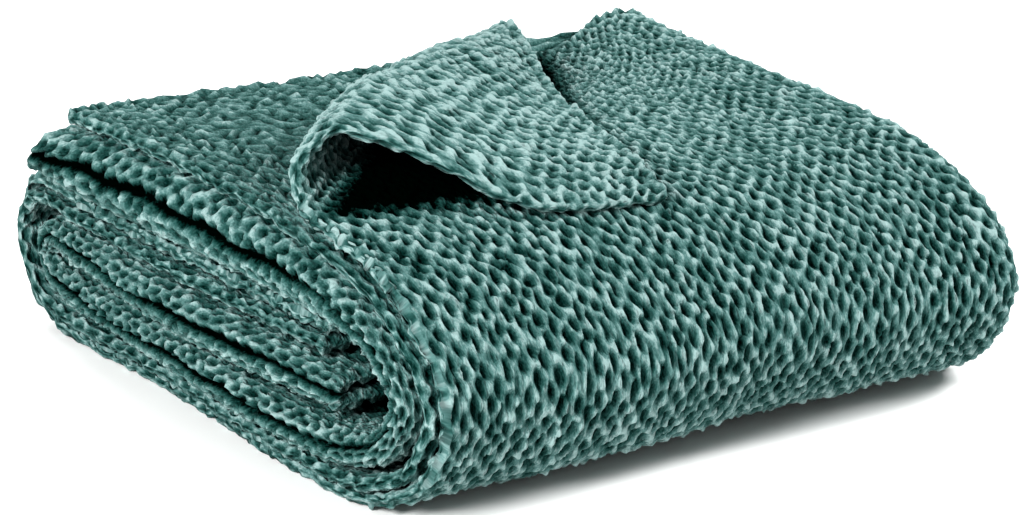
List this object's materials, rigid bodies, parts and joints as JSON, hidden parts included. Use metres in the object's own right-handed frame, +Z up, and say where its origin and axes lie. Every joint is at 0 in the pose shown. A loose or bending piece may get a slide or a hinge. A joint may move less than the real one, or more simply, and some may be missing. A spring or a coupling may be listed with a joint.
{
  "type": "folded throw blanket",
  "caption": "Thick honeycomb-weave throw folded into a flat stack of soft layers, with the top corner turned back.",
  "frame": {"origin": "middle of the box on the surface that the folded throw rests on", "axes": "+Z up; X along the stack from the end with the cut edges (-X) to the end with folds only (+X); +Y from the rounded front to the hems at the back"},
  "size_m": [0.4316, 0.458, 0.1884],
  "materials": {
    "dyed_cotton": "matte, puffy honeycomb weave in sea green yarn"
  },
  "bodies": {
    "root": {"throw_cloth": "dyed_cotton"}
  },
  "joints": []
}
